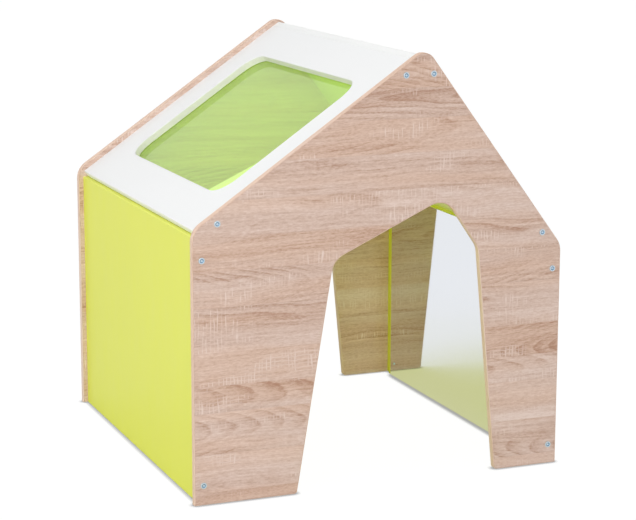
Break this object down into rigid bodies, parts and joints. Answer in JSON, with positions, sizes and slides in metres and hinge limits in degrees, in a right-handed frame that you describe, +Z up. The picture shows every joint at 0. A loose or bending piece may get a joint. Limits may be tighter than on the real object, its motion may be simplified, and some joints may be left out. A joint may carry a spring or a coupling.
{
  "type": "sensory playhouse",
  "caption": "Open toddler playhouse of bolted laminated boards: two gables with house-shaped doorways, lime side walls, a white roof with a tinted window and a mirror inside.",
  "frame": {"origin": "on the floor, under the middle of the house", "axes": "+X along the gables towards the mirror wall, +Y from the front gable to the rear one, +Z up"},
  "size_m": [0.95, 0.988, 1.0382],
  "materials": {
    "oak_laminate": "melamine-faced board in a planked pale oak print, satin",
    "oak_edging": "2 mm edging in a pale oak print, rounded edges",
    "lime_laminate": "melamine-faced board in plain lime, satin",
    "lime_edging": "2 mm edging in plain lime, rounded edges",
    "white_laminate": "melamine-faced board in plain white, satin",
    "white_edging": "2 mm edging in plain white, rounded edges",
    "green_acrylic": "clear fluorescent green acrylic sheet, polished",
    "mirror_sheet": "acrylic safety mirror, polished edge",
    "zinc_steel": "zinc-plated steel"
  },
  "bodies": {
    "root": {"front_gable": "oak_laminate", "front_gable_edging": "oak_edging", "front_door_edging": "oak_edging", "front_left_foot_edging": "oak_edging", "front_right_foot_edging": "oak_edging", "rear_gable": "oak_laminate", "rear_gable_edging": "oak_edging", "rear_door_edging": "oak_edging", "rear_left_foot_edging": "oak_edging", "rear_right_foot_edging": "oak_edging", "left_wall": "lime_laminate", "left_wall_lower_edging": "lime_edging", "left_wall_upper_edging": "lime_edging", "left_wall_front_lower_bolt": "zinc_steel", "left_wall_front_upper_bolt": "zinc_steel", "left_wall_rear_lower_bolt": "zinc_steel", "left_wall_rear_upper_bolt": "zinc_steel", "right_wall": "lime_laminate", "right_wall_lower_edging": "lime_edging", "right_wall_upper_edging": "lime_edging", "right_wall_front_lower_bolt": "zinc_steel", "right_wall_front_upper_bolt": "zinc_steel", "right_wall_rear_lower_bolt": "zinc_steel", "right_wall_rear_upper_bolt": "zinc_steel", "mirror_backing": "lime_laminate", "mirror_sheet": "mirror_sheet", "mirror_screw_1": "zinc_steel", "mirror_screw_2": "zinc_steel", "mirror_screw_3": "zinc_steel", "mirror_screw_4": "zinc_steel", "left_roof": "white_laminate", "left_roof_lower_edging": "white_edging", "left_roof_upper_edging": "white_edging", "left_roof_front_lower_bolt": "zinc_steel", "left_roof_front_upper_bolt": "zinc_steel", "left_roof_rear_lower_bolt": "zinc_steel", "left_roof_rear_upper_bolt": "zinc_steel", "window_edging": "white_edging", "window_pane": "green_acrylic", "pane_screw_1": "zinc_steel", "pane_screw_2": "zinc_steel", "pane_screw_3": "zinc_steel", "pane_screw_4": "zinc_steel", "pane_screw_5": "zinc_steel", "pane_screw_6": "zinc_steel", "pane_screw_7": "zinc_steel", "pane_screw_8": "zinc_steel", "pane_screw_9": "zinc_steel", "pane_screw_10": "zinc_steel", "right_roof": "white_laminate", "right_roof_lower_edging": "white_edging", "right_roof_upper_edging": "white_edging", "right_roof_front_lower_bolt": "zinc_steel", "right_roof_front_upper_bolt": "zinc_steel", "right_roof_rear_lower_bolt": "zinc_steel", "right_roof_rear_upper_bolt": "zinc_steel"}
  },
  "joints": []
}
